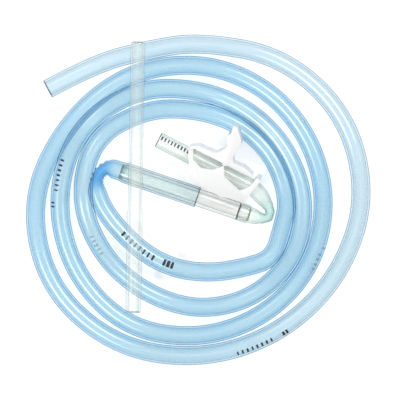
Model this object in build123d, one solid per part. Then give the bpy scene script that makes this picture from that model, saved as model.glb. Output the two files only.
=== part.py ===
"""Gravel vacuum siphon, laid out flat: a coiled clear hose whose inner end is pushed on a rigid
coupling tube, a short outlet hose on the coupling's other end with a pinch clamp on it, and a
loose rigid suction tube lying across the coil.

Millimetres, +Z up, the surface it lies on is Z = 0. The origin is on that surface, under the
middle of the rigid pieces' common box."""
import os
from math import cos, radians, sin, tan

from build123d import *

# Main hose
HOSE_OD = 10.0
HOSE_WALL = 1.0
# Outlet hose
OUTLET_OD = 8.2
OUTLET_WALL = 0.8
# Rigid coupling tube: a body, a nose under the main hose and a thinner spigot under the outlet hose
COUPLING_LENGTH = 71.9
COUPLING_OD = 9.4
COUPLING_BORE = 6.0
MAIN_SEAT_OD = 9.2
SPIGOT_OD = 8.0
MAIN_INSERTION = 42.9
SPIGOT_INSERTION = 6.6
NOSE_LENGTH = 3.0
SPIGOT_NOSE = 1.4
# Loose suction tube
TUBE_LENGTH = 141.6
TUBE_TOP_OD = 7.85
TUBE_MOUTH_OD = 8.25
TUBE_BORE = 5.8
TUBE_SPIGOT = 20.0
BEAD_PLACE = 90.5
BEAD_LENGTH = 5.0
BEAD_HEIGHT = 0.35
RIM_ROUND = 0.45
# Pinch clamp
CLAMP_WIDTH = 12.0
CLAMP_TILT = 15.0
CHEEK = 1.6
FLOOR_STRIP = 1.8
HOLE_CLEARANCE = 0.4
LEVER_CLEARANCE = 0.2
PINCH_CLEARANCE = 0.15
HINGE_RADIUS = 1.0
HINGE_CLEARANCE = 0.05
HINGE_GAP = 0.1
HINGE_BACK = -19.95
PINCH_AT = -0.6

# Where things lie, seen from above
COIL_MIDDLE = (5.1, -11.8)
COUPLING_START = (-36.75, 3.35)
COUPLING_HEADING = -18.7
CLAMP_MIDDLE = (16.7, 2.9)
CLAMP_HEADING = -26.8
OUTLET_ENTRY = 18.9
OUTLET_CUT = -37.6
TUBE_TOP = (-27.25, 70.8, 19.2)
TUBE_HEADING = (-2.65, -141.6, -4.3)

# The coil: how far the hose is from the coil's middle at the clock hours 12, 1, 2 ... 11,
# one row per turn, and how far it is lifted there to pass over another turn
TURN_RADII = (
    (80.6, 84.5, 86.3, 84.9, 80.9, 79.4, 81.3, 86.3, 89.5, 86.8, 78.7, 74.8),
    (70.5, 67.0, 64.5, 64.6, 66.3, 68.0, 71.0, 75.2, 74.6, 73.6, 72.2, 65.4),
    (56.6, 52.1, 51.1, 53.4, 56.6, 57.1, 56.5, 55.2, 57.4, 61.2, 62.8, 53.8),
    (45.8, 42.7, 42.5, 43.9),
)
TURN_LIFTS = (
    (0, 0, 0, 0, 0, 0, 0, 0, 0, 0, 0, 0),
    (0, 0, 0, 0, 0, 0, 0, 0, 0, 2.0, 9.2, 4.0),
    (0.8, 4.8, 6.4, 6.0, 3.4, 0.9, 0, 0, 2.0, 9.9, 7.4, 0.6),
    (0, 0, 0, 0),
)
HOUR = 30.0
# The hose before the coil, from its cut end, and after it, up to the fold
LEAD_IN = ((-75.1, 46.6), (-50.1, 60.2), (-21.2, 67.6))
RUN_OUT = (
    (47.5, -26.9), (42.6, -42.0), (27.4, -47.4), (10.4, -50.3), (-7.5, -48.2),
    (-23.3, -40.6), (-37.0, -28.0), (-46.2, -16.1), (-51.3, -4.6), (-49.2, 2.3),
)
FOLD_REACH = 6.6
# The outlet hose's fold, between the coupling and the clamp: across the surface, and its rise
OUTLET_REACH = 3.6
OUTLET_FOLD = ((39.3, -19.0, 0.2), (40.9, -13.8, 1.1), (38.7, -8.7, 2.3))

# The hinge bead rides just over the outlet hose; the jaws' outlines follow it
HINGE_LIFT = OUTLET_OD / 2 + HINGE_GAP + HINGE_RADIUS
HINGE_AT = (HINGE_BACK, HINGE_LIFT)
# Clamp outlines: along the hose, and up from its middle towards the lever
BASE_OUTER = (
    (-21.5, HINGE_LIFT - 0.4), (-13.6, -9.6), (-7.4, -9.9), (-2.0, -10.6), (5.0, -10.8),
    (15.5, -7.9), (17.8, -5.2), (19.6, 3.0), (19.9, 6.6), (18.0, 7.2), (17.2, 5.4),
)
BASE_WINDOWS = (
    (16.6, 2.0), (14.7, -1.0), (12.5, -3.3), (2.2, -0.3), (-0.6, 4.7), (-5.3, 0.0),
    (-10.8, -1.8), (-16.3, 0.2), (-18.7, HINGE_LIFT - 0.4),
)
TROUGH = ((-17.0, 8.0), (-11.5, -7.6), (-2.0, -8.7), (5.0, -8.9), (13.6, -6.4), (16.6, 8.0))
LEVER = (
    (15.0, HINGE_LIFT + 0.3), (15.0, HINGE_LIFT + 1.8), (9.6, 8.4), (3.4, 8.0), (1.6, 10.5),
    (1.8, 15.5), (2.4, 18.6), (1.5, 21.1), (-3.1, 25.9), (-5.7, 25.8), (-4.8, 21.6),
    (-6.2, 19.7), (-5.0, 17.5), (-3.7, 14.9), (-4.6, 12.0), (-7.6, 8.2), (-17.0, 7.9),
    (-19.6, HINGE_LIFT + 1.3), (-19.9, HINGE_LIFT), (-18.5, HINGE_LIFT + 0.3),
)
BASE_LOWEST = min(v for _, v in BASE_OUTER)

SLEEVE_OD = MAIN_SEAT_OD + 2 * 0.85 * HOSE_WALL
OUTLET_SLEEVE_OD = SPIGOT_OD + 2 * 0.95 * OUTLET_WALL
HOSE_HEIGHT = HOSE_OD / 2
COUPLING_HEIGHT = SLEEVE_OD / 2
CLAMP_HEIGHT = -BASE_LOWEST * sin(radians(CLAMP_TILT)) + CLAMP_WIDTH / 2 * cos(radians(CLAMP_TILT))


def on_coupling(distance):
    """A point on the coupling's line, measured from its end in the main hose."""
    x, y = COUPLING_START
    turn = radians(COUPLING_HEADING)
    return (x + distance * cos(turn), y + distance * sin(turn), COUPLING_HEIGHT)


def on_clamp(distance):
    """A point on the clamp's line, measured from the clamp's middle."""
    x, y = CLAMP_MIDDLE
    turn = radians(CLAMP_HEADING)
    return (x + distance * cos(turn), y + distance * sin(turn), CLAMP_HEIGHT)


def main_route():
    """The main hose's corners, from its cut end to the end of the coupling."""
    points = [(x, y, HOSE_HEIGHT) for x, y in LEAD_IN]
    for radii, lifts in zip(TURN_RADII, TURN_LIFTS):
        for hour, (radius, lift) in enumerate(zip(radii, lifts)):
            turn = radians(90 - HOUR * hour)
            reach = radius / cos(radians(HOUR / 2))
            x, y = COIL_MIDDLE
            points.append((x + reach * cos(turn), y + reach * sin(turn), HOSE_HEIGHT + lift))
    points += [(x, y, HOSE_HEIGHT) for x, y in RUN_OUT[:-2]]
    points += [(x, y, COUPLING_HEIGHT) for x, y in RUN_OUT[-2:]]
    return points + [on_coupling(-FOLD_REACH), on_coupling(0)]


def outlet_route():
    """The outlet hose's corners, from the end of the coupling to its own cut end."""
    fold = [(x, y, COUPLING_HEIGHT + rise) for x, y, rise in OUTLET_FOLD]
    start = [on_coupling(COUPLING_LENGTH), on_coupling(COUPLING_LENGTH + OUTLET_REACH)]
    return start + fold + [on_clamp(OUTLET_ENTRY), on_clamp(OUTLET_CUT)]


def corner_radii(points):
    """The largest arc that each corner of a route has room for."""
    radii = []
    for a, b, c in zip(points, points[1:], points[2:]):
        arriving = Vector(*b) - Vector(*a)
        leaving = Vector(*c) - Vector(*b)
        half_turn = radians(arriving.get_angle(leaving)) / 2
        radii.append(0.45 * min(arriving.length, leaving.length) / tan(half_turn))
    return radii


def hose_along(points, outside, bore, name):
    """A round hose along straight runs joined by tangent arcs."""
    radii = corner_radii(points)
    print(name, "radii:", " ".join(f"{r:.1f}" for r in radii))
    path = FilletPolyline(*points, radius=radii)
    start = Plane(origin=path @ 0, z_dir=path % 0)
    section = start * (Circle(outside / 2) - Circle(bore / 2))
    hose = sweep(section, path=path)
    area = 3.14159265 * (outside**2 - bore**2) / 4
    print(f"{name}: length {path.length:.1f}, volume {hose.volume:.0f} of {area * path.length:.0f}")
    return hose


def turned(profile, plane):
    """A solid of revolution: (distance, radius) corners about the plane's normal."""
    face = Plane.XZ * make_face(Polyline(*[(r, z) for z, r in profile], close=True))
    return plane * revolve(face, Axis.Z)


def coupling_plane(distance):
    return Plane(origin=on_coupling(distance), z_dir=Vector(*on_coupling(1)) - Vector(*on_coupling(0)))


def main_hose():
    """The long hose, with its end stretched over the coupling's nose and seat."""
    bore = HOSE_OD - 2 * HOSE_WALL
    free = hose_along(main_route(), HOSE_OD, bore, "main hose")
    sleeve = [
        (0, bore / 2), (NOSE_LENGTH, MAIN_SEAT_OD / 2), (MAIN_INSERTION, MAIN_SEAT_OD / 2),
        (MAIN_INSERTION, SLEEVE_OD / 2), (NOSE_LENGTH, SLEEVE_OD / 2), (0, HOSE_OD / 2),
    ]
    return free + turned(sleeve, coupling_plane(0))


def coupling_tube():
    """A rigid tube: nose and seat, body, spigot."""
    body_start = MAIN_INSERTION
    body_end = COUPLING_LENGTH - SPIGOT_INSERTION
    nose = HOSE_OD / 2 - HOSE_WALL
    profile = [
        (0, COUPLING_BORE / 2), (0, nose), (NOSE_LENGTH, MAIN_SEAT_OD / 2),
        (body_start, MAIN_SEAT_OD / 2), (body_start, COUPLING_OD / 2), (body_end, COUPLING_OD / 2),
        (body_end, SPIGOT_OD / 2), (COUPLING_LENGTH - SPIGOT_NOSE, SPIGOT_OD / 2),
        (COUPLING_LENGTH, OUTLET_OD / 2 - OUTLET_WALL), (COUPLING_LENGTH, COUPLING_BORE / 2),
    ]
    return turned(profile, coupling_plane(0))


def outlet_hose():
    """The short hose: stretched over the spigot, folded back and led through the clamp."""
    bore = OUTLET_OD - 2 * OUTLET_WALL
    free = hose_along(outlet_route(), OUTLET_OD, bore, "outlet hose")
    start = COUPLING_LENGTH - SPIGOT_INSERTION
    nose = COUPLING_LENGTH - SPIGOT_NOSE
    sleeve = [
        (start, SPIGOT_OD / 2), (nose, SPIGOT_OD / 2), (COUPLING_LENGTH, bore / 2),
        (COUPLING_LENGTH, OUTLET_OD / 2), (nose, OUTLET_SLEEVE_OD / 2),
        (start, OUTLET_SLEEVE_OD / 2),
    ]
    return free + turned(sleeve, coupling_plane(0))


def suction_tube():
    """A rigid tube, slightly tapered, with rounded rims and a low bead that stops the hose."""
    top = TUBE_TOP_OD / 2
    mouth = TUBE_MOUTH_OD / 2
    bore = TUBE_BORE / 2
    bead = BEAD_PLACE / TUBE_LENGTH
    waist = top + (mouth - top) * bead
    line = [
        (0, bore), (0, top - RIM_ROUND), (RIM_ROUND * 0.3, top - RIM_ROUND * 0.3),
        (RIM_ROUND, top), (TUBE_SPIGOT, top), (BEAD_PLACE - BEAD_LENGTH / 2, waist),
        (BEAD_PLACE, waist + BEAD_HEIGHT), (BEAD_PLACE + BEAD_LENGTH / 2, waist),
        (TUBE_LENGTH - RIM_ROUND, mouth),
        (TUBE_LENGTH - RIM_ROUND * 0.3, mouth - RIM_ROUND * 0.3),
        (TUBE_LENGTH, mouth - RIM_ROUND), (TUBE_LENGTH, bore),
    ]
    return turned(line, Plane(origin=TUBE_TOP, z_dir=TUBE_HEADING))


def clamp_plane():
    """The clamp's own frame: X along the hose, Y towards the lever, Z across its width."""
    heading = radians(CLAMP_HEADING)
    tilt = radians(CLAMP_TILT)
    along = Vector(cos(heading), sin(heading), 0)
    up = Vector(-sin(heading) * cos(tilt), cos(heading) * cos(tilt), sin(tilt))
    return Plane(origin=on_clamp(0), x_dir=along, z_dir=along.cross(up))


def slab(outline, width):
    """A closed outline in the clamp's frame, extruded both ways from its middle."""
    return extrude(make_face(Polyline(*outline, close=True)), amount=width / 2, both=True)


def clamp_base():
    """The clamp's lower jaw: a trough with two end walls, two cheeks and a pinch bar."""
    inside = CLAMP_WIDTH - 2 * CHEEK
    seat = OUTLET_OD / 2 + PINCH_CLEARANCE
    body = slab(BASE_OUTER + BASE_WINDOWS, CLAMP_WIDTH)
    body -= slab(TROUGH, inside)
    bar = [
        (PINCH_AT - 2.4, BASE_LOWEST + FLOOR_STRIP / 2), (PINCH_AT - 0.5, -seat),
        (PINCH_AT + 0.5, -seat), (PINCH_AT + 2.4, BASE_LOWEST + FLOOR_STRIP / 2),
    ]
    body += slab(bar, inside)
    hole = Plane.YZ * Cylinder(OUTLET_OD / 2 + HOLE_CLEARANCE, 60)
    knuckle = Pos(*HINGE_AT) * Cylinder(HINGE_RADIUS + HINGE_CLEARANCE, CLAMP_WIDTH + 1)
    return clamp_plane() * (body - hole - knuckle)


def clamp_lever():
    """The clamp's upper arm: hinge bead, pinch anvil and a curved thumb tab."""
    width = CLAMP_WIDTH - 2 * CHEEK - 2 * LEVER_CLEARANCE
    seat = OUTLET_OD / 2 + PINCH_CLEARANCE
    arm = slab(LEVER, width)
    anvil = [
        (PINCH_AT - 2.2, LEVER[0][1] + 0.3), (PINCH_AT - 0.5, seat),
        (PINCH_AT + 0.5, seat), (PINCH_AT + 2.2, LEVER[0][1] + 0.3),
    ]
    arm += slab(anvil, width)
    arm += Pos(*HINGE_AT) * Cylinder(HINGE_RADIUS, width)
    return clamp_plane() * arm


PARTS = {
    "main_hose": main_hose,
    "coupling_tube": coupling_tube,
    "outlet_hose": outlet_hose,
    "suction_tube": suction_tube,
    "clamp_base": clamp_base,
    "clamp_lever": clamp_lever,
}

os.makedirs("parts", exist_ok=True)
for name, make in PARTS.items():
    export_step(make(), f"parts/{name}.step")
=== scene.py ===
"""Gravel vacuum siphon, laid out flat: hoses, coupling, suction tube and pinch clamp.

Laid out as a Blender add-on. Each piece has its own operator, and main() calls them in order."""
from math import cos, pi, radians, sin

import bmesh
import bpy
from bpy.props import FloatProperty, FloatVectorProperty, IntProperty, PointerProperty
from bpy.types import Operator, Panel, PropertyGroup
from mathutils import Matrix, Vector


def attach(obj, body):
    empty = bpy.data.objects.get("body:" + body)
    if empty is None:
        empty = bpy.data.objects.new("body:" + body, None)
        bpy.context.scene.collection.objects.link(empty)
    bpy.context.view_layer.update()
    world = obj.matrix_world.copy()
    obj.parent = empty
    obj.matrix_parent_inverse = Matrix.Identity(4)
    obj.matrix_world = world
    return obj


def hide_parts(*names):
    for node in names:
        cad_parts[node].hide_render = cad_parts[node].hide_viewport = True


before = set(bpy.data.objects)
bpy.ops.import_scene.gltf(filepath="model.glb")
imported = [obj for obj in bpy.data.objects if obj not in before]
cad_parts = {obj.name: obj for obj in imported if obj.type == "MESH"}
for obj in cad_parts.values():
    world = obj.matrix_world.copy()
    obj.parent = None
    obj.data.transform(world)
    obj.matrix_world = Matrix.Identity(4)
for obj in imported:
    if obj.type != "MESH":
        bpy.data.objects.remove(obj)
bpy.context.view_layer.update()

bl_info = {
    "name": "Gravel Vacuum Siphon",
    "version": (1, 0, 0),
    "blender": (4, 5, 0),
    "location": "View3D > Sidebar > Siphon",
    "description": "Builds a fish tank siphon: coiled clear hose, coupling, suction tube and clamp",
    "category": "Object",
}

MM = 0.001
FACE_GAP = 1e-6
CUT_BAND = 0.0006

# Sizes that the hoses, the coupling and the suction tube share with the solids, in millimetres
HOSE_RADIUS = 5.0
HOSE_BORE = 4.0
SLEEVE_RADIUS = 5.45
SEAT_RADIUS = 4.6
COUPLING_START = (-36.75, 3.35)
COUPLING_HEADING = -18.7
COUPLING_LENGTH = 71.9
COUPLING_HEIGHT = 5.45
MAIN_INSERTION = 42.9
SPIGOT_INSERTION = 6.6
CLAMP_MIDDLE = (16.7, 2.9)
CLAMP_HEADING = -26.8
CLAMP_HEIGHT = 8.59
TUBE_TOP = (-27.25, 70.8, 19.2)
TUBE_HEADING = (-2.65, -141.6, -4.3)
TUBE_LENGTH = 141.6
MAIN_NOSE = 3.0
SPIGOT_NOSE = 1.4
SEAT_CLEARANCE = 0.02
OUTLET_SWELL = 0.66
SPIGOT_BORE = 4.02
OUTLET_SIDES = 36

# The coil: how far the hose is from the coil's middle at the clock hours 12, 1, 2 ... 11,
# and how far it is lifted there to pass over another turn
COIL_MIDDLE = (5.1, -11.8)
TURN_RADII = (
    (80.6, 84.5, 86.3, 84.9, 80.9, 79.4, 81.3, 86.3, 89.5, 86.8, 78.7, 74.8),
    (70.5, 67.0, 64.5, 64.6, 66.3, 68.0, 71.0, 75.2, 74.6, 73.6, 72.2, 65.4),
    (56.6, 52.1, 51.1, 53.4, 56.6, 57.1, 56.5, 55.2, 57.4, 61.2, 62.8, 53.8),
    (46.0, 43.8, 43.9, 45.2),
)
TURN_LIFTS = (
    (0, 0, 0, 0, 0, 0, 0, 0, 0, 0, 0, 0),
    (0, 0, 0, 0, 0, 0, 0, 0, 0, 2.0, 9.2, 4.0),
    (0.8, 5.2, 7.1, 6.8, 3.8, 0.9, 0, 0, 2.0, 9.9, 7.4, 0.6),
    (0, 0, 0, 0),
)
LEAD_IN = ((-75.1, 46.6), (-50.1, 60.2), (-21.2, 67.6))
RUN_OUT = (
    (48.3, -27.4), (43.4, -42.8), (27.8, -47.6), (10.4, -50.3), (-7.5, -48.2),
    (-23.3, -40.6), (-37.0, -28.0), (-46.2, -16.1), (-50.2, -4.6), (-47.9, 3.0),
)
FOLD_REACH = 6.6
OUTLET_REACH = 3.8
OUTLET_FOLD = ((40.9, -21.9, 0.2), (42.4, -17.2, 0.9), (38.3, -10.9, 2.0))
OUTLET_ENTRY = 18.9
OUTLET_CUT = -37.6
# Rows of printed bars: start along the hose, spacing and bar length in millimetres, number of
# bars, and turn round the hose in degrees
DARK_MARKS = (
    (719.0, 2.65, 2.2, 7, -26.0), (741.5, 2.0, 2.4, 2, -48.0), (1346.0, 2.65, 2.4, 8, -32.0),
    (1371.5, 2.0, 2.8, 2, -38.0), (91.5, 2.85, 3.0, 8, 0.0), (118.0, 2.2, 3.6, 3, 7.0),
)
FAINT_MARKS = (
    (927.0, 2.6, 2.2, 4, -40.0), (938.5, 2.6, 2.2, 1, -50.0), (388.0, 2.6, 2.2, 5, -12.0),
)
OUTLET_MARKS = ((74.5, 1.9, 2.2, 9, -22.0),)


def along_line(start, heading, height, distance):
    """A point on a level line, in metres."""
    turn = radians(heading)
    x, y = start
    return Vector((x + distance * cos(turn), y + distance * sin(turn), height)) * MM


def on_coupling(distance):
    return along_line(COUPLING_START, COUPLING_HEADING, COUPLING_HEIGHT, distance)


def on_clamp(distance):
    return along_line(CLAMP_MIDDLE, CLAMP_HEADING, CLAMP_HEIGHT, distance)


def main_route():
    """The long hose's route, from its end on the coupling to its free cut end."""
    points = [Vector((x, y, HOSE_RADIUS)) * MM for x, y in LEAD_IN]
    for radii, lifts in zip(TURN_RADII, TURN_LIFTS):
        for hour, (radius, lift) in enumerate(zip(radii, lifts)):
            turn = radians(90 - 30 * hour)
            reach = radius / cos(radians(15))
            x = COIL_MIDDLE[0] + reach * cos(turn)
            y = COIL_MIDDLE[1] + reach * sin(turn)
            points.append(Vector((x, y, HOSE_RADIUS + lift)) * MM)
    points += [Vector((x, y, HOSE_RADIUS)) * MM for x, y in RUN_OUT[:-2]]
    points += [Vector((x, y, COUPLING_HEIGHT)) * MM for x, y in RUN_OUT[-2:]]
    points += [on_coupling(-FOLD_REACH), on_coupling(0), on_coupling(MAIN_INSERTION)]
    return points[::-1]


def outlet_route():
    """The short hose's route, from its end on the coupling's spigot to its free cut end."""
    fold = [Vector((x, y, COUPLING_HEIGHT + rise)) * MM for x, y, rise in OUTLET_FOLD]
    return [
        on_coupling(COUPLING_LENGTH - SPIGOT_INSERTION),
        on_coupling(COUPLING_LENGTH),
        on_coupling(COUPLING_LENGTH + OUTLET_REACH),
        *fold,
        on_clamp(OUTLET_ENTRY),
        on_clamp(OUTLET_ENTRY - 6.0),
        on_clamp(OUTLET_CUT),
    ]


class SiphonHoseSettings(PropertyGroup):
    """Sizes and colours of the long hose."""

    sides: IntProperty(name="Sides", description="Facets round the hose", default=28, min=8)
    middle: FloatVectorProperty(
        name="Middle tint",
        description="Light that passes the wall where it is seen straight on",
        subtype="COLOR", size=3, default=(0.855, 0.924, 0.953), min=0, max=1,
    )
    side: FloatVectorProperty(
        name="Side tint",
        description="Light that passes the wall where it turns away",
        subtype="COLOR", size=3, default=(0.745, 0.880, 0.970), min=0, max=1,
    )
    # The rim tint is partly the wall's own colour along its longer path edge on and partly painted
    # shade, darkening the edge where dark surroundings would be refracted.
    rim: FloatVectorProperty(
        name="Rim tint",
        description="Light that passes the wall where it is seen edge on",
        subtype="COLOR", size=3, default=(0.35, 0.50, 0.60), min=0, max=1,
    )
    body: FloatVectorProperty(
        name="Body colour",
        description="Colour of the plastic's own haze",
        subtype="COLOR", size=3, default=(0.36, 0.66, 0.92), min=0, max=1,
    )


class SiphonOutletSettings(PropertyGroup):
    """Sizes and colours of the short outlet hose."""

    radius: FloatProperty(
        name="Radius", description="Outside radius", default=0.0041, unit="LENGTH", min=0.001
    )
    wall: FloatProperty(
        name="Wall", description="Wall thickness", default=0.0008, unit="LENGTH", min=0.0001
    )
    middle: FloatVectorProperty(
        name="Middle tint",
        description="Light that passes the wall where it is seen straight on",
        subtype="COLOR", size=3, default=(0.965, 0.98, 0.97), min=0, max=1,
    )
    side: FloatVectorProperty(
        name="Side tint",
        description="Light that passes the wall where it turns away",
        subtype="COLOR", size=3, default=(0.945, 0.965, 0.952), min=0, max=1,
    )
    # The rim tint is partly the wall's own colour along its longer path edge on and partly painted
    # shade, darkening the edge where dark surroundings would be refracted.
    rim: FloatVectorProperty(
        name="Rim tint",
        description="Light that passes the wall where it is seen edge on",
        subtype="COLOR", size=3, default=(0.40, 0.52, 0.50), min=0, max=1,
    )


class SiphonRigidSettings(PropertyGroup):
    """Sizes of the coupling and the suction tube, and colours of the suction tube."""

    sides: IntProperty(name="Sides", description="Facets round a tube", default=48, min=12)
    middle: FloatVectorProperty(
        name="Middle tint",
        description="Light that passes the wall where it is seen straight on",
        subtype="COLOR", size=3, default=(0.99, 0.995, 0.99), min=0, max=1,
    )
    # The rim tint is partly the wall's own colour along its longer path edge on and partly painted
    # shade, darkening the edge where dark surroundings would be refracted.
    rim: FloatVectorProperty(
        name="Rim tint",
        description="Light that passes the wall where it is seen edge on",
        subtype="COLOR", size=3, default=(0.78, 0.82, 0.81), min=0, max=1,
    )


class SiphonClampSettings(PropertyGroup):
    """Finish of the pinch clamp."""

    colour: FloatVectorProperty(
        name="Colour", description="Colour of the moulding",
        subtype="COLOR", size=3, default=(0.83, 0.83, 0.83), min=0, max=1,
    )
    edge: FloatProperty(
        name="Edge rounding", description="Radius of the moulding's edges",
        default=0.0003, unit="LENGTH", min=0.0,
    )


class SiphonStageSettings(PropertyGroup):
    """Camera, lights and floor."""

    distance: FloatProperty(
        name="Camera height", description="Height of the camera above the floor",
        default=1.5, unit="LENGTH", min=0.3,
    )
    frame_width: FloatProperty(
        name="Frame width", description="Width that the camera takes in on the floor",
        default=0.2105, unit="LENGTH", min=0.01,
    )
    floor: FloatVectorProperty(
        name="Floor colour", description="Colour of the floor",
        subtype="COLOR", size=3, default=(0.96, 0.96, 0.96), min=0, max=1,
    )


def link(obj):
    bpy.context.scene.collection.objects.link(obj)
    return obj


def smooth_line(name, points):
    """The points of a smooth line that has the route's points as its control points."""
    curve = bpy.data.curves.new(name, "CURVE")
    curve.dimensions = "3D"
    spline = curve.splines.new("NURBS")
    spline.points.add(len(points) - 1)
    for point, place in zip(spline.points, points):
        point.co = (*place, 1.0)
    spline.order_u = 3
    spline.use_endpoint_u = True
    spline.resolution_u = 20
    guide = link(bpy.data.objects.new(name, curve))
    graph = bpy.context.evaluated_depsgraph_get()
    mesh = bpy.data.meshes.new_from_object(guide.evaluated_get(graph))
    line = [v.co.copy() for v in mesh.vertices]
    line = line[:1] + [b for a, b in zip(line, line[1:]) if (b - a).length > FACE_GAP]
    bpy.data.objects.remove(guide)
    bpy.data.curves.remove(curve)
    bpy.data.meshes.remove(mesh)
    return line


def running_lengths(line):
    lengths = [0.0]
    for a, b in zip(line, line[1:]):
        lengths.append(lengths[-1] + (b - a).length)
    return lengths


def ring_frames(line):
    """For each point: the sideways and the upright direction across the line."""
    frames = []
    for i in range(len(line)):
        ahead = line[min(i + 1, len(line) - 1)] - line[max(i - 1, 0)]
        side = Vector((0, 0, 1)).cross(ahead).normalized()
        frames.append((side, ahead.normalized().cross(side)))
    return frames


def hose_mesh(name, line, section, sides):
    """An open double-walled hose. section(length) gives the half width, the half height, the bore
    as a share of them and how hard the hose is folded there. Its UV map holds the length along
    and the turn round, and its attributes mark the cut ends, the folds and the bore."""
    bm = bmesh.new()
    uv = bm.loops.layers.uv.new("UVMap")
    cut = bm.verts.layers.float.new("cut")
    folded = bm.verts.layers.float.new("fold")
    hollow = bm.verts.layers.float.new("bore")
    start = line[0].lerp(line[1], CUT_BAND / (line[1] - line[0]).length)
    line = [line[0], start, *line[1:]]
    end = line[-1].lerp(line[-2], CUT_BAND / (line[-1] - line[-2]).length)
    line = [*line[:-1], end, line[-1]]
    lengths = running_lengths(line)
    total = lengths[-1]
    frames = ring_frames(line)
    walls = []
    for outer in (True, False):
        rings = []
        for place, (side, up), length in zip(line, frames, lengths):
            wide, high, bore, fold = section(length)
            share = 1.0 if outer else bore
            ring = []
            for k in range(sides):
                turn = 2 * pi * k / sides
                vert = bm.verts.new(
                    place + side * (wide * share * cos(turn)) + up * (high * share * sin(turn))
                )
                vert[cut] = max(0.0, 1.0 - min(length, total - length) / CUT_BAND)
                vert[folded] = fold
                vert[hollow] = 0.0 if outer else 1.0
                ring.append(vert)
            rings.append(ring)
        walls.append(rings)
    for rings, outer in zip(walls, (True, False)):
        for i in range(len(rings) - 1):
            for k in range(sides):
                n = (k + 1) % sides
                corners = [rings[i][k], rings[i + 1][k], rings[i + 1][n], rings[i][n]]
                marks = [(i, k), (i + 1, k), (i + 1, k + 1), (i, k + 1)]
                if outer:
                    corners.reverse()
                    marks.reverse()
                face = bm.faces.new(corners)
                face.smooth = True
                for loop, (a, b) in zip(face.loops, marks):
                    loop[uv].uv = (lengths[a], b / sides)
    for at, flip in ((0, False), (-1, True)):
        for k in range(sides):
            n = (k + 1) % sides
            corners = [walls[0][at][k], walls[0][at][n], walls[1][at][n], walls[1][at][k]]
            if flip:
                corners.reverse()
            face = bm.faces.new(corners)
            for loop in face.loops:
                loop[uv].uv = (lengths[at], 0.5)
    bmesh.ops.recalc_face_normals(bm, faces=bm.faces)
    mesh = bpy.data.meshes.new(name)
    bm.to_mesh(mesh)
    bm.free()
    return link(bpy.data.objects.new(name, mesh))


def lathe(name, profile, start, heading, sides):
    """A closed ring-shaped solid: (distance, radius) corners in metres about a line."""
    axis = Vector(heading).normalized()
    across = axis.cross(Vector((0, 0, 1))).normalized()
    up = across.cross(axis)
    bm = bmesh.new()
    cut = bm.verts.layers.float.new("cut")
    end = max(distance for distance, _ in profile)
    rings = []
    for distance, radius in profile:
        ring = []
        for k in range(sides):
            turn = 2 * pi * k / sides
            out = across * cos(turn) + up * sin(turn)
            vert = bm.verts.new(Vector(start) + axis * distance + out * radius)
            vert[cut] = 1.0 if min(distance, end - distance) < 0.0005 else 0.0
            ring.append(vert)
        rings.append(ring)
    for i in range(len(rings)):
        for k in range(sides):
            n = (k + 1) % sides
            j = (i + 1) % len(rings)
            face = bm.faces.new((rings[i][k], rings[j][k], rings[j][n], rings[i][n]))
            face.smooth = True
    bmesh.ops.recalc_face_normals(bm, faces=bm.faces)
    mesh = bpy.data.meshes.new(name)
    bm.to_mesh(mesh)
    bm.free()
    mesh.set_sharp_from_angle(angle=radians(40))
    return link(bpy.data.objects.new(name, mesh))


def grain_group():
    """Shared fine grain: a height and a roughness that vary over a moulded or drawn surface."""
    group = bpy.data.node_groups.get("plastic_grain")
    if group:
        return group
    group = bpy.data.node_groups.new("plastic_grain", "ShaderNodeTree")
    face = group.interface
    for name, kind, value in (
        ("Vector", "NodeSocketVector", None),
        ("Scale", "NodeSocketFloat", 300.0),
        ("Roughness", "NodeSocketFloat", 0.3),
        ("Variation", "NodeSocketFloat", 0.1),
    ):
        socket = face.new_socket(name=name, in_out="INPUT", socket_type=kind)
        if value is not None:
            socket.default_value = value
    face.new_socket(name="Height", in_out="OUTPUT", socket_type="NodeSocketFloat")
    face.new_socket(name="Roughness", in_out="OUTPUT", socket_type="NodeSocketFloat")
    nodes, links = group.nodes, group.links
    source = nodes.new("NodeGroupInput")
    result = nodes.new("NodeGroupOutput")
    noise = nodes.new("ShaderNodeTexNoise")
    noise.inputs["Detail"].default_value = 3.0
    centred = nodes.new("ShaderNodeMath")
    centred.operation = "SUBTRACT"
    centred.inputs[1].default_value = 0.5
    spread = nodes.new("ShaderNodeMath")
    spread.operation = "MULTIPLY_ADD"
    links.new(source.outputs["Vector"], noise.inputs["Vector"])
    links.new(source.outputs["Scale"], noise.inputs["Scale"])
    links.new(noise.outputs["Fac"], centred.inputs[0])
    links.new(centred.outputs[0], spread.inputs[0])
    links.new(source.outputs["Variation"], spread.inputs[1])
    links.new(source.outputs["Roughness"], spread.inputs[2])
    links.new(noise.outputs["Fac"], result.inputs["Height"])
    links.new(spread.outputs[0], result.inputs["Roughness"])
    return group


def new_material(name):
    material = bpy.data.materials.new(name)
    material.use_nodes = True
    material.node_tree.nodes.clear()
    return material, material.node_tree.nodes, material.node_tree.links


def add_grain(nodes, links, shader, vector, scale, roughness, variation, bump):
    """Feeds a shader's roughness and normal from the shared grain."""
    grain = nodes.new("ShaderNodeGroup")
    grain.node_tree = grain_group()
    grain.inputs["Scale"].default_value = scale
    grain.inputs["Roughness"].default_value = roughness
    grain.inputs["Variation"].default_value = variation
    links.new(vector, grain.inputs["Vector"])
    links.new(grain.outputs["Roughness"], shader.inputs["Roughness"])
    relief = nodes.new("ShaderNodeBump")
    relief.inputs["Strength"].default_value = bump
    relief.inputs["Distance"].default_value = 0.0002
    links.new(grain.outputs["Height"], relief.inputs["Height"])
    links.new(relief.outputs["Normal"], shader.inputs["Normal"])


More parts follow.
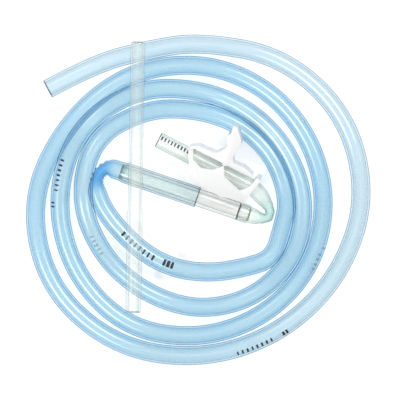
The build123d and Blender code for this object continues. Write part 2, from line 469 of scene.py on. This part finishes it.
def mixed(nodes, links, factor, first, second):
    """A colour between two others. Each may be a plain colour or a node's output."""
    mix = nodes.new("ShaderNodeMix")
    mix.data_type = "RGBA"
    links.new(factor, mix.inputs["Factor"])
    for socket, colour in (("A", first), ("B", second)):
        if isinstance(colour, bpy.types.NodeSocket):
            links.new(colour, mix.inputs[socket])
        else:
            mix.inputs[socket].default_value = (*colour, 1)
    return mix.outputs["Result"]


def surface_mark(nodes, name):
    mark = nodes.new("ShaderNodeAttribute")
    mark.attribute_name = name
    return mark.outputs["Fac"]


def stepped(nodes, links, value, low, high):
    """0 where the value is below low, 1 above high, and a smooth step in between."""
    step = nodes.new("ShaderNodeMapRange")
    step.interpolation_type = "SMOOTHSTEP"
    step.inputs["From Min"].default_value = low
    step.inputs["From Max"].default_value = high
    links.new(value, step.inputs["Value"])
    return step.outputs["Result"]


def scaled(nodes, links, value, share):
    product = nodes.new("ShaderNodeMath")
    product.operation = "MULTIPLY"
    product.inputs[1].default_value = share
    links.new(value, product.inputs[0])
    return product.outputs[0]


def clear_plastic(name, middle, side, rim, body, haze, side_haze, cut, folds=None):
    """Clear plastic: see-through walls tinted by how far they turn away, with a thin dark outline,
    a little haze of the plastic's own colour, darker cut ends and a thin gloss. The dark outline is
    partly the wall's own colour along its longer path seen edge on and partly painted shade,
    standing in for dark surroundings refracted at the edges. Light sources shine through it. A hose
    also has folds = (fold, far, sleeve): the tints of its folds, of the stretch towards its free
    end, and of the stretch that is pushed over the coupling. The tint towards the free end is
    painted light: the outer turn is made paler, standing in for bright surroundings seen through
    it."""
    material, nodes, links = new_material(name)
    output = nodes.new("ShaderNodeOutputMaterial")
    weight = nodes.new("ShaderNodeLayerWeight")
    weight.inputs["Blend"].default_value = 0.5
    turned = stepped(nodes, links, weight.outputs["Facing"], 0.12, 0.55)
    # Painted shade: a dark outline where the wall is seen edge on, partly the longer path through
    # the wall and partly standing in for dark surroundings refracted at the edges.
    outline = stepped(nodes, links, weight.outputs["Facing"], 0.48, 0.80)
    place = nodes.new("ShaderNodeTexCoord")
    cloud = nodes.new("ShaderNodeTexNoise")
    cloud.inputs["Scale"].default_value = 26.0
    cloud.inputs["Detail"].default_value = 2.5
    links.new(place.outputs["Object"], cloud.inputs["Vector"])

    greyer = (middle[0] + 0.010, middle[1], middle[2] - 0.024)
    bluer = (middle[0] - 0.014, middle[1], middle[2] + 0.012)
    seen = mixed(nodes, links, cloud.outputs["Fac"], greyer, bluer)
    seen = mixed(nodes, links, turned, seen, side)
    if folds:
        fold, far, sleeve = folds
        along = nodes.new("ShaderNodeSeparateXYZ")
        links.new(place.outputs["UV"], along.inputs[0])
        # Painted light: the outer turn of the coil is tinted paler by the far tint, standing in for
        # bright surroundings seen through it.
        outer_turn = stepped(nodes, links, along.outputs["X"], 1.24, 1.44)
        seen = mixed(nodes, links, scaled(nodes, links, outer_turn, 0.85), seen, far)
        free = stepped(nodes, links, along.outputs["X"], 0.034, 0.045)
        seen = mixed(nodes, links, free, sleeve, seen)
        seen = mixed(nodes, links, surface_mark(nodes, "fold"), seen, fold)
    # The rim tint lays on the dark outline: partly the wall's own colour over a longer path, partly
    # painted shade for refracted dark surroundings.
    seen = mixed(nodes, links, outline, seen, rim)
    inner = scaled(nodes, links, surface_mark(nodes, "bore"), 0.45)
    seen = mixed(nodes, links, inner, seen, middle)
    seen = mixed(nodes, links, surface_mark(nodes, "cut"), seen, cut)

    through = nodes.new("ShaderNodeBsdfTransparent")
    links.new(seen, through.inputs["Color"])

    plastic = nodes.new("ShaderNodeBsdfPrincipled")
    plastic.inputs["IOR"].default_value = 1.5
    shade = mixed(
        nodes, links, cloud.outputs["Fac"], tuple(c * 0.9 for c in body),
        tuple(min(1.0, c * 1.08) for c in body),
    )
    links.new(shade, plastic.inputs["Base Color"])
    add_grain(nodes, links, plastic, place.outputs["Object"], 420.0, 0.16, 0.12, 0.03)

    inside = nodes.new("ShaderNodeMath")
    inside.operation = "SUBTRACT"
    links.new(turned, inside.inputs[0])
    links.new(outline, inside.inputs[1])
    amount = nodes.new("ShaderNodeMapRange")
    amount.inputs["To Min"].default_value = haze
    amount.inputs["To Max"].default_value = side_haze
    links.new(inside.outputs[0], amount.inputs["Value"])
    wall = nodes.new("ShaderNodeMixShader")
    links.new(amount.outputs["Result"], wall.inputs[0])
    links.new(through.outputs[0], wall.inputs[1])
    links.new(plastic.outputs[0], wall.inputs[2])

    mirror = nodes.new("ShaderNodeFresnel")
    mirror.inputs["IOR"].default_value = 1.5
    most = nodes.new("ShaderNodeMath")
    most.operation = "MINIMUM"
    most.inputs[1].default_value = 0.09
    links.new(mirror.outputs[0], most.inputs[0])
    gloss = nodes.new("ShaderNodeBsdfGlossy")
    gloss.inputs["Roughness"].default_value = 0.25
    coated = nodes.new("ShaderNodeMixShader")
    links.new(most.outputs[0], coated.inputs[0])
    links.new(wall.outputs[0], coated.inputs[1])
    links.new(gloss.outputs[0], coated.inputs[2])

    path = nodes.new("ShaderNodeLightPath")
    lit = nodes.new("ShaderNodeBsdfTransparent")
    lit.inputs["Color"].default_value = (*(0.8 + 0.2 * c for c in middle), 1)
    final = nodes.new("ShaderNodeMixShader")
    links.new(path.outputs["Is Shadow Ray"], final.inputs[0])
    links.new(coated.outputs[0], final.inputs[1])
    links.new(lit.outputs[0], final.inputs[2])
    links.new(final.outputs[0], output.inputs["Surface"])
    return material


def white_plastic(colour):
    """Satin white moulding with a faint grain. Some light passes through its thin walls."""
    material, nodes, links = new_material("white_moulding")
    output = nodes.new("ShaderNodeOutputMaterial")
    plastic = nodes.new("ShaderNodeBsdfPrincipled")
    plastic.inputs["IOR"].default_value = 1.48
    plastic.inputs["Subsurface Weight"].default_value = 0.08
    plastic.inputs["Subsurface Radius"].default_value = (0.6, 0.6, 0.6)
    plastic.inputs["Subsurface Scale"].default_value = 0.001
    place = nodes.new("ShaderNodeTexCoord")
    cloud = nodes.new("ShaderNodeTexNoise")
    cloud.inputs["Scale"].default_value = 60.0
    links.new(place.outputs["Object"], cloud.inputs["Vector"])
    duller = tuple(c * 0.965 for c in colour)
    shade = mixed(nodes, links, cloud.outputs["Fac"], duller, tuple(colour))
    links.new(shade, plastic.inputs["Base Color"])
    add_grain(nodes, links, plastic, place.outputs["Object"], 900.0, 0.34, 0.12, 0.08)
    path = nodes.new("ShaderNodeLightPath")
    lit = nodes.new("ShaderNodeBsdfTransparent")
    lit.inputs["Color"].default_value = (0.93, 0.93, 0.93, 1)
    milky = nodes.new("ShaderNodeMixShader")
    links.new(scaled(nodes, links, path.outputs["Is Shadow Ray"], 0.7), milky.inputs[0])
    links.new(plastic.outputs[0], milky.inputs[1])
    links.new(lit.outputs[0], milky.inputs[2])
    links.new(milky.outputs[0], output.inputs["Surface"])
    return material


def ink(name, dark, light):
    """Ink of the printed bars, slightly broken up."""
    material, nodes, links = new_material(name)
    output = nodes.new("ShaderNodeOutputMaterial")
    paint = nodes.new("ShaderNodeBsdfPrincipled")
    place = nodes.new("ShaderNodeTexCoord")
    wear = nodes.new("ShaderNodeTexNoise")
    wear.inputs["Scale"].default_value = 1500.0
    links.new(place.outputs["Object"], wear.inputs["Vector"])
    links.new(mixed(nodes, links, wear.outputs["Fac"], dark, light), paint.inputs["Base Color"])
    add_grain(nodes, links, paint, place.outputs["Object"], 1200.0, 0.5, 0.2, 0.05)
    links.new(paint.outputs[0], output.inputs["Surface"])
    return material


def between(value, low, high):
    """0 below low, 1 above high, and a smooth step in between."""
    t = min(1.0, max(0.0, (value - low) / (high - low)))
    return t * t * (3 - 2 * t)


def mark_tree():
    """A row of short printed bars that follows a hose: the input is the hose's middle line."""
    tree = bpy.data.node_groups.new("printed_marks", "GeometryNodeTree")
    face = tree.interface
    face.new_socket(name="Line", in_out="INPUT", socket_type="NodeSocketGeometry")
    for name, kind, value in (
        ("Start", "NodeSocketFloat", 0.1), ("Spacing", "NodeSocketFloat", 0.0026),
        ("Marks", "NodeSocketInt", 6), ("Hose radius", "NodeSocketFloat", 0.005),
        ("Turn", "NodeSocketFloat", 0.0), ("Bar length", "NodeSocketFloat", 0.0022),
        ("Bar width", "NodeSocketFloat", 0.0006), ("Thickness", "NodeSocketFloat", 0.00006),
        ("Seed", "NodeSocketInt", 3),
    ):
        face.new_socket(name=name, in_out="INPUT", socket_type=kind).default_value = value
    face.new_socket(name="Finish", in_out="INPUT", socket_type="NodeSocketMaterial")
    face.new_socket(name="Marks", in_out="OUTPUT", socket_type="NodeSocketGeometry")
    nodes, links = tree.nodes, tree.links
    given = nodes.new("NodeGroupInput").outputs

    def maths(operation, *terms):
        node = nodes.new("ShaderNodeMath")
        node.operation = operation
        for socket, term in zip(node.inputs, terms):
            if isinstance(term, (int, float)):
                socket.default_value = term
            else:
                links.new(term, socket)
        return node.outputs[0]

    def vector_maths(operation, *terms):
        node = nodes.new("ShaderNodeVectorMath")
        node.operation = operation
        for i, term in enumerate(terms):
            socket = node.inputs["Scale"] if operation == "SCALE" and i == 1 else node.inputs[i]
            if isinstance(term, tuple):
                socket.default_value = term
            else:
                links.new(term, socket)
        return node.outputs[0]

    # One short bar, bent round the hose, its outer face at the bar's own origin
    bar = nodes.new("GeometryNodeMeshCube")
    size = nodes.new("ShaderNodeCombineXYZ")
    links.new(given["Bar width"], size.inputs["X"])
    links.new(given["Bar length"], size.inputs["Y"])
    links.new(given["Thickness"], size.inputs["Z"])
    links.new(size.outputs[0], bar.inputs["Size"])
    bar.inputs["Vertices Y"].default_value = 6
    corner = nodes.new("ShaderNodeSeparateXYZ")
    links.new(nodes.new("GeometryNodeInputPosition").outputs[0], corner.inputs[0])
    reach = maths("ADD", given["Hose radius"], corner.outputs["Z"])
    angle = maths("DIVIDE", corner.outputs["Y"], given["Hose radius"])
    bent = nodes.new("ShaderNodeCombineXYZ")
    links.new(corner.outputs["X"], bent.inputs["X"])
    links.new(maths("MULTIPLY", reach, maths("SINE", angle)), bent.inputs["Y"])
    links.new(maths("MULTIPLY", reach, maths("COSINE", angle)), bent.inputs["Z"])
    bend = nodes.new("GeometryNodeSetPosition")
    links.new(bar.outputs["Mesh"], bend.inputs["Geometry"])
    links.new(bent.outputs[0], bend.inputs["Position"])

    # Where each bar goes along the middle line
    points = nodes.new("GeometryNodePoints")
    links.new(given["Marks"], points.inputs["Count"])
    index = nodes.new("GeometryNodeInputIndex").outputs[0]
    sample = nodes.new("GeometryNodeSampleCurve")
    sample.mode = "LENGTH"
    sample.use_all_curves = True
    links.new(given["Line"], sample.inputs["Curves"])
    along = maths("MULTIPLY_ADD", index, given["Spacing"], given["Start"])
    links.new(along, sample.inputs["Length"])
    seat = nodes.new("GeometryNodeSetPosition")
    links.new(points.outputs[0], seat.inputs["Geometry"])
    links.new(sample.outputs["Position"], seat.inputs["Position"])

    # Outwards from the hose, turned round it from straight up
    ahead = sample.outputs["Tangent"]
    side = vector_maths("NORMALIZE", vector_maths("CROSS_PRODUCT", (0, 0, 1), ahead))
    up = vector_maths("CROSS_PRODUCT", ahead, side)
    outwards = vector_maths(
        "ADD", vector_maths("SCALE", side, maths("SINE", given["Turn"])),
        vector_maths("SCALE", up, maths("COSINE", given["Turn"])),
    )
    turned = nodes.new("FunctionNodeAxesToRotation")
    turned.primary_axis = "Z"
    turned.secondary_axis = "X"
    links.new(outwards, turned.inputs["Primary Axis"])
    links.new(ahead, turned.inputs["Secondary Axis"])
    stretch = nodes.new("FunctionNodeRandomValue")
    stretch.inputs[2].default_value = 0.7
    stretch.inputs[3].default_value = 1.25
    links.new(given["Seed"], stretch.inputs["Seed"])
    scale = nodes.new("ShaderNodeCombineXYZ")
    links.new(stretch.outputs[1], scale.inputs["X"])
    scale.inputs["Y"].default_value = 1.0
    scale.inputs["Z"].default_value = 1.0

    place = nodes.new("GeometryNodeInstanceOnPoints")
    links.new(seat.outputs[0], place.inputs["Points"])
    links.new(bend.outputs[0], place.inputs["Instance"])
    links.new(turned.outputs[0], place.inputs["Rotation"])
    links.new(scale.outputs[0], place.inputs["Scale"])
    real = nodes.new("GeometryNodeRealizeInstances")
    links.new(place.outputs[0], real.inputs[0])
    finish = nodes.new("GeometryNodeSetMaterial")
    links.new(real.outputs[0], finish.inputs["Geometry"])
    links.new(given["Finish"], finish.inputs["Material"])
    result = nodes.new("NodeGroupOutput")
    links.new(finish.outputs[0], result.inputs[0])
    return tree


def printed_marks(name, line, rows, radius, finish):
    """Rows of printed bars on a hose, as one mesh."""
    tree = bpy.data.node_groups.get("printed_marks") or mark_tree()
    sockets = {
        item.name: item.identifier
        for item in tree.interface.items_tree if item.in_out == "INPUT"
    }
    gathered = bmesh.new()
    for seed, (start, spacing, length, marks, turn) in enumerate(rows):
        curve = bpy.data.curves.new("middle_line", "CURVE")
        curve.dimensions = "3D"
        spline = curve.splines.new("POLY")
        spline.points.add(len(line) - 1)
        for point, place in zip(spline.points, line):
            point.co = (*place, 1.0)
        guide = link(bpy.data.objects.new("middle_line", curve))
        rule = guide.modifiers.new("marks", "NODES")
        rule.node_group = tree
        for socket, value in (
            ("Start", start * MM), ("Spacing", spacing * MM), ("Bar length", length * MM),
            ("Bar width", length * 0.4 * MM), ("Marks", marks), ("Turn", radians(turn)),
            ("Hose radius", radius), ("Seed", seed), ("Finish", finish),
        ):
            rule[sockets[socket]] = value
        graph = bpy.context.evaluated_depsgraph_get()
        mesh = bpy.data.meshes.new_from_object(guide.evaluated_get(graph))
        gathered.from_mesh(mesh)
        bpy.data.objects.remove(guide)
        bpy.data.curves.remove(curve)
        bpy.data.meshes.remove(mesh)
    mesh = bpy.data.meshes.new(name)
    gathered.to_mesh(mesh)
    gathered.free()
    mesh.materials.append(finish)
    return link(bpy.data.objects.new(name, mesh))


class SIPHON_OT_main_hose(Operator):
    """Add the long coiled hose"""

    bl_idname = "siphon.main_hose"
    bl_label = "Main hose"

    def execute(self, context):
        settings = context.scene.siphon_hose
        line = smooth_line("main_route", main_route())
        total = running_lengths(line)[-1]
        nose = (MAIN_INSERTION - MAIN_NOSE) * MM
        seat_end = MAIN_INSERTION * MM

        def section(length):
            stretch = 1.0 - between(length, nose, seat_end)
            outside = HOSE_RADIUS + (SLEEVE_RADIUS - HOSE_RADIUS) * stretch
            inside = HOSE_BORE + (SEAT_RADIUS + SEAT_CLEARANCE - HOSE_BORE) * stretch
            fold = length - seat_end
            pinch = between(fold, 0.003, 0.010) * (1.0 - between(fold, 0.014, 0.024))
            crease = 1 - 0.36 * pinch + 0.08 * pinch * sin(fold / 0.00035)
            return outside * crease * MM, outside * MM, inside / outside, 0.8 * pinch

        hose = hose_mesh("long_hose", line, section, settings.sides)
        hose.data.materials.append(
            clear_plastic(
                "blue_clear_hose", settings.middle, settings.side, settings.rim, settings.body,
                haze=0.018, side_haze=0.05, cut=(0.08, 0.20, 0.24),
                # The second tint, for the stretch towards the free end, is painted light: a paler
                # outer turn standing in for bright surroundings seen through it.
                folds=((0.46, 0.76, 0.95), (0.940, 0.960, 0.966), (0.965, 0.98, 0.975)),
            )
        )
        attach(hose, "hose_set")
        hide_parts("main_hose")
        marks = [
            printed_marks(
                "long_hose_marks", line, DARK_MARKS, HOSE_RADIUS * MM,
                ink("mark_ink", (0.004, 0.006, 0.012), (0.02, 0.03, 0.05)),
            ),
            printed_marks(
                "long_hose_worn_marks", line, FAINT_MARKS, HOSE_RADIUS * MM,
                ink("worn_mark_ink", (0.16, 0.27, 0.38), (0.30, 0.42, 0.52)),
            ),
        ]
        for row in marks:
            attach(row, "hose_set")
        print("long hose", round(total, 4))
        return {"FINISHED"}


class SIPHON_OT_outlet_hose(Operator):
    """Add the short outlet hose that runs through the clamp"""

    bl_idname = "siphon.outlet_hose"
    bl_label = "Outlet hose"

    def execute(self, context):
        settings = context.scene.siphon_outlet
        line = smooth_line("outlet_route", outlet_route())
        total = running_lengths(line)[-1]
        nose = (SPIGOT_INSERTION - SPIGOT_NOSE) * MM
        seat_end = SPIGOT_INSERTION * MM
        bore = settings.radius - settings.wall

        def section(length):
            stretch = 1.0 - between(length, nose, seat_end)
            outside = settings.radius + OUTLET_SWELL * MM * stretch
            inside = bore + (SPIGOT_BORE * MM - bore) * stretch
            fold = length - seat_end
            pinch = between(fold, 0.001, 0.009) * (1.0 - between(fold, 0.013, 0.024))
            crease = 1 - 0.42 * pinch + 0.04 * pinch * sin(fold / 0.0005)
            return outside * crease, outside, inside / outside, 0.7 * pinch

        hose = hose_mesh("outlet_hose_tube", line, section, OUTLET_SIDES)
        hose.data.materials.append(
            clear_plastic(
                "green_clear_hose", settings.middle, settings.side, settings.rim,
                (0.90, 0.94, 0.92), haze=0.03, side_haze=0.05, cut=(0.26, 0.32, 0.31),
                folds=((0.80, 0.92, 0.90), settings.middle, settings.middle),
            )
        )
        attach(hose, "hose_set")
        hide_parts("outlet_hose")
        marks = printed_marks(
            "outlet_hose_marks", line, OUTLET_MARKS, settings.radius,
            ink("outlet_mark_ink", (0.02, 0.025, 0.03), (0.10, 0.11, 0.12)),
        )
        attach(marks, "hose_set")
        print("outlet hose", round(total, 4))
        return {"FINISHED"}


class SIPHON_OT_coupling(Operator):
    """Add the rigid coupling tube between the two hoses"""

    bl_idname = "siphon.coupling"
    bl_label = "Coupling"

    def execute(self, context):
        settings = context.scene.siphon_rigid
        body_end = COUPLING_LENGTH - SPIGOT_INSERTION
        profile = [
            (0.9, 3.0), (0, 3.0), (0, 3.7), (0.3, 4.0), (3.0, 4.59), (MAIN_INSERTION, 4.59),
            (MAIN_INSERTION + 0.1, 4.7), (body_end - 0.3, 4.7), (body_end, 4.45),
            (body_end + 0.1, 3.99), (COUPLING_LENGTH - 1.4, 3.99),
            (COUPLING_LENGTH - 0.3, 3.5), (COUPLING_LENGTH, 3.2), (COUPLING_LENGTH, 3.0),
            (COUPLING_LENGTH - 0.9, 3.0),
        ]
        tube = lathe(
            "coupling", [(z * MM, r * MM) for z, r in profile], on_coupling(0),
            on_coupling(1) - on_coupling(0), settings.sides,
        )
        tube.data.materials.append(
            clear_plastic(
                "rigid_clear_coupling", (0.978, 0.976, 0.970), (0.955, 0.955, 0.950),
                # The tint (0.55, 0.60, 0.58) is the rim tint: partly the wall's own colour along
                # its longer path edge on, partly painted shade for dark surroundings refracted at
                # the edges.
                (0.55, 0.60, 0.58), (0.93, 0.93, 0.92), haze=0.03, side_haze=0.08,
                cut=(0.6, 0.65, 0.55),
            )
        )
        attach(tube, "hose_set")
        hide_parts("coupling_tube")
        return {"FINISHED"}


class SIPHON_OT_suction_tube(Operator):
    """Add the loose rigid suction tube"""

    bl_idname = "siphon.suction_tube"
    bl_label = "Suction tube"

    def execute(self, context):
        settings = context.scene.siphon_rigid
        end = TUBE_LENGTH
        profile = [
            (1.2, 2.9), (0.3, 2.95), (0.0, 3.15), (0.0, 3.25), (0.2, 3.5), (0.7, 3.72), (1.3, 3.8),
            (20.0, 3.8), (86.0, 3.82), (88.5, 4.0), (90.5, 4.45), (92.5, 4.3), (94.5, 4.12),
            (end - 1.3, 4.125), (end - 0.7, 4.05), (end - 0.2, 3.8), (end, 3.4), (end, 3.15),
            (end - 0.3, 2.95), (end - 1.2, 2.9),
        ]
        tube = lathe(
            "suction_tube_clear", [(z * MM, r * MM) for z, r in profile],
            Vector(TUBE_TOP) * MM, TUBE_HEADING, settings.sides,
        )
        tube.data.materials.append(
            clear_plastic(
                "rigid_clear_tube", settings.middle, settings.middle, settings.rim,
                (0.96, 0.97, 0.97), haze=0.05, side_haze=0.17, cut=(0.62, 0.68, 0.68),
            )
        )
        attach(tube, "suction_tube")
        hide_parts("suction_tube")
        return {"FINISHED"}


class SIPHON_OT_clamp(Operator):
    """Add the white pinch clamp, with rounded edges"""

    bl_idname = "siphon.clamp"
    bl_label = "Pinch clamp"

    def execute(self, context):
        settings = context.scene.siphon_clamp
        finish = white_plastic(settings.colour)
        for node in ("clamp_base", "clamp_lever"):
            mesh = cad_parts[node].data.copy()
            mesh.materials.clear()
            mesh.materials.append(finish)
            bm = bmesh.new()
            bm.from_mesh(mesh)
            bmesh.ops.remove_doubles(bm, verts=bm.verts, dist=FACE_GAP)
            bmesh.ops.dissolve_limit(
                bm, angle_limit=radians(1.5), verts=bm.verts, edges=bm.edges
            )
            for face in bm.faces:
                face.material_index = 0
            bm.to_mesh(mesh)
            bm.free()
            arm = link(bpy.data.objects.new(node + "_moulding", mesh))
            rounding = arm.modifiers.new("rounding", "BEVEL")
            rounding.width = settings.edge
            rounding.segments = 2
            rounding.limit_method = "ANGLE"
            rounding.angle_limit = radians(30)
            graph = bpy.context.evaluated_depsgraph_get()
            done = bpy.data.meshes.new_from_object(arm.evaluated_get(graph))
            arm.modifiers.clear()
            arm.data = done
            done.shade_smooth()
            done.set_sharp_from_angle(angle=radians(35))
            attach(arm, node)
            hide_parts(node)
        return {"FINISHED"}


class SIPHON_OT_stage(Operator):
    """Add the camera, the lights and the floor"""

    bl_idname = "siphon.stage"
    bl_label = "Stage"

    def execute(self, context):
        settings = context.scene.siphon_stage
        scene = context.scene
        scene.view_settings.view_transform = "Standard"
        scene.cycles.transparent_max_bounces = 64
        centre = Vector((COIL_MIDDLE[0] * MM, COIL_MIDDLE[1] * MM, 0))

        data = bpy.data.cameras.new("camera")
        data.sensor_width = 36.0
        data.lens = 36.0 * (settings.distance - 0.006) / settings.frame_width
        data.clip_end = 20.0
        camera = link(bpy.data.objects.new("camera", data))
        camera.location = centre + Vector((0, 0, settings.distance))
        scene.camera = camera

        world = bpy.data.worlds.new("studio")
        world.use_nodes = True
        sky = world.node_tree.nodes["Background"]
        sky.inputs["Color"].default_value = (1, 1, 1, 1)
        sky.inputs["Strength"].default_value = 0.42
        scene.world = world

        for name, place, size, power in (
            ("key_light", (0.45, 0.55, 0.9), (0.45, 0.04), 5.6),
            ("fill_light", (-0.6, -0.4, 0.8), (0.45, 0.04), 4.4),
            ("left_light", (-0.42, 0.58, 0.95), (0.35, 0.04), 2.4),
            ("top_light", (-0.15, 0.25, 1.9), (0.6, 0.25), 2.4),
        ):
            lamp = bpy.data.lights.new(name, "AREA")
            lamp.shape = "RECTANGLE"
            lamp.size, lamp.size_y = size
            lamp.energy = power
            light = link(bpy.data.objects.new(name, lamp))
            light.location = centre + Vector(place)
            light.rotation_euler = (centre - light.location).to_track_quat("-Z", "Y").to_euler()

        bm = bmesh.new()
        bmesh.ops.create_grid(bm, x_segments=8, y_segments=8, size=2.0)
        mesh = bpy.data.meshes.new("floor")
        bm.to_mesh(mesh)
        bm.free()
        floor = link(bpy.data.objects.new("floor", mesh))
        material, nodes, links = new_material("floor_paper")
        output = nodes.new("ShaderNodeOutputMaterial")
        paper = nodes.new("ShaderNodeBsdfPrincipled")
        place = nodes.new("ShaderNodeTexCoord")
        paper.inputs["Base Color"].default_value = (*settings.floor, 1)
        add_grain(nodes, links, paper, place.outputs["Object"], 800.0, 0.8, 0.1, 0.02)
        links.new(paper.outputs[0], output.inputs["Surface"])
        mesh.materials.append(material)
        return {"FINISHED"}


class SIPHON_PT_panel(Panel):
    """Lists the siphon's pieces in the 3D view's sidebar"""

    bl_label = "Gravel Vacuum Siphon"
    bl_space_type = "VIEW_3D"
    bl_region_type = "UI"
    bl_category = "Siphon"

    def draw(self, context):
        for operator in OPERATORS:
            self.layout.operator(operator.bl_idname)


SETTINGS = {
    "siphon_hose": SiphonHoseSettings,
    "siphon_outlet": SiphonOutletSettings,
    "siphon_rigid": SiphonRigidSettings,
    "siphon_clamp": SiphonClampSettings,
    "siphon_stage": SiphonStageSettings,
}
OPERATORS = (
    SIPHON_OT_stage,
    SIPHON_OT_main_hose,
    SIPHON_OT_outlet_hose,
    SIPHON_OT_coupling,
    SIPHON_OT_suction_tube,
    SIPHON_OT_clamp,
)


def register():
    for kind in (*SETTINGS.values(), *OPERATORS, SIPHON_PT_panel):
        bpy.utils.register_class(kind)
    for name, kind in SETTINGS.items():
        setattr(bpy.types.Scene, name, PointerProperty(type=kind))


def unregister():
    for name in SETTINGS:
        delattr(bpy.types.Scene, name)
    for kind in (SIPHON_PT_panel, *reversed(OPERATORS), *reversed(SETTINGS.values())):
        bpy.utils.unregister_class(kind)


def main():
    register()
    bpy.ops.siphon.stage()
    bpy.ops.siphon.main_hose()
    bpy.ops.siphon.outlet_hose()
    bpy.ops.siphon.coupling()
    bpy.ops.siphon.suction_tube()
    bpy.ops.siphon.clamp()


if __name__ == "__main__":
    main()
